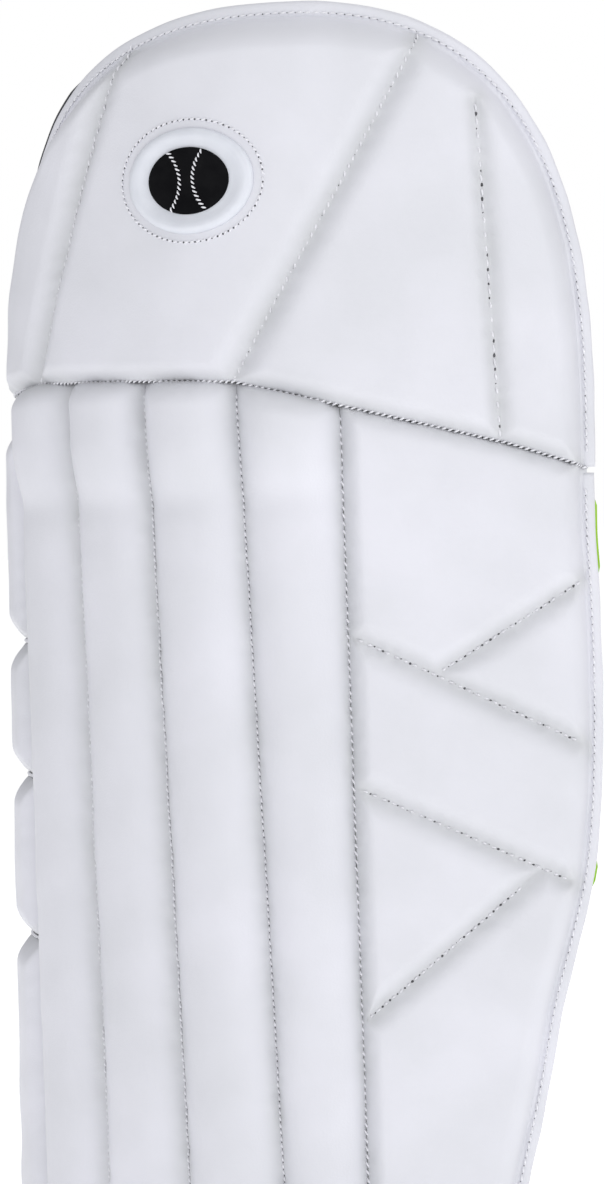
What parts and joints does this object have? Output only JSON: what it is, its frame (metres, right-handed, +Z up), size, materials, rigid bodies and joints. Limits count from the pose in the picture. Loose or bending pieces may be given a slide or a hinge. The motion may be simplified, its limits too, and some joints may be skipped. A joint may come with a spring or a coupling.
{
  "type": "cricket leg pad",
  "caption": "Left leg pad for cricket with vertical shin rolls, a rounded padded top flap, a large outer wing, a small cushioned inner wing and fastening straps behind the leg.",
  "frame": {"origin": "under the middle of the pad's bounding box, at the level of the foot it stands on", "axes": "+Z up from the foot to the top flap, -Y out of the front of the shin rolls, +X towards the large outer wing"},
  "size_m": [0.3008, 0.1576, 0.6235],
  "materials": {
    "white_leather": "smooth synthetic leather with a soft satin sheen",
    "binding": "folded synthetic leather tape, stitched",
    "lime_lining": "lime green padded nylon",
    "dark_lining": "charcoal padded nylon",
    "foam": "matt closed-cell foam",
    "board": "matt stiffener sheet",
    "cane": "split cane",
    "webbing": "woven webbing",
    "loop_tape": "brushed loop pile",
    "hook_tape": "black hook tape",
    "badge_black": "glossy moulded rubber",
    "badge_white": "moulded soft plastic"
  },
  "bodies": {
    "ankle_strap": {"ankle_hook_patch": "hook_tape", "ankle_strap": "webbing"},
    "inner_wing": {"ankle_loop_tab": "loop_tape", "calf_bolster_inner": "white_leather", "calf_loop_tab": "loop_tape", "inner_binding": "binding", "inner_board": "board", "inner_cushion_cover_1": "white_leather", "inner_cushion_cover_2": "white_leather", "inner_cushion_cover_3": "white_leather", "inner_cushion_cover_4": "white_leather", "inner_cushion_foam_1": "foam", "inner_cushion_foam_2": "foam", "inner_cushion_foam_3": "foam", "inner_cushion_foam_4": "foam", "inner_lining": "dark_lining", "knee_loop_tab": "loop_tape"},
    "top_hat": {"badge_ball": "badge_black", "badge_base": "badge_white", "hat_binding": "binding", "hat_board": "board", "hat_cover": "white_leather", "hat_foam_1": "foam", "hat_foam_2": "foam", "hat_foam_3": "foam", "hat_foam_4": "foam", "hat_lining": "dark_lining"},
    "shin_guard": {"calf_bolster_outer": "white_leather", "instep_band": "white_leather", "knee_bolster_lower": "white_leather", "knee_bolster_upper": "white_leather", "roll_cane_1": "cane", "roll_cane_2": "cane", "roll_cane_3": "cane", "roll_cane_4": "cane", "roll_cover_1": "white_leather", "roll_cover_2": "white_leather", "roll_cover_3": "white_leather", "roll_cover_4": "white_leather", "roll_foam_1": "foam", "roll_foam_2": "foam", "roll_foam_3": "foam", "roll_foam_4": "foam", "shin_board": "board", "shin_lining": "lime_lining", "wing_binding": "binding", "wing_board": "board", "wing_cover": "white_leather", "wing_foam_1": "foam", "wing_foam_2": "foam", "wing_foam_3": "foam", "wing_foam_4": "foam", "wing_foam_5": "foam", "wing_lining": "lime_lining"},
    "calf_strap": {"calf_hook_patch": "hook_tape", "calf_strap": "webbing"},
    "knee_strap": {"knee_hook_patch": "hook_tape", "knee_strap": "webbing"}
  },
  "joints": [
    {"name": "top_hat_flex", "type": "hinge", "parent": "shin_guard", "child": "top_hat", "pos_m": [0, -0.074, 0.464], "axis": [1, 0, 0], "range_deg": [0, 8], "stiffness_Nm_per_rad": 1.5},
    {"name": "inner_wing_flex", "type": "hinge", "parent": "shin_guard", "child": "inner_wing", "pos_m": [-0.09399, -0.04104, 0.22], "axis": [-0.0038, -0.0279, -0.9996], "range_deg": [0, 8], "stiffness_Nm_per_rad": 1},
    {"name": "knee_strap_open", "type": "hinge", "parent": "shin_guard", "child": "knee_strap", "pos_m": [0.12951, 0.04428, 0.388], "axis": [0, 0, -1], "range_deg": [0, 65]},
    {"name": "calf_strap_open", "type": "hinge", "parent": "shin_guard", "child": "calf_strap", "pos_m": [0.11187, 0.02565, 0.245], "axis": [0, 0, -1], "range_deg": [0, 65]},
    {"name": "ankle_strap_open", "type": "hinge", "parent": "shin_guard", "child": "ankle_strap", "pos_m": [0.08835, 0.00332, 0.092], "axis": [0, 0, -1], "range_deg": [0, 65]}
  ]
}
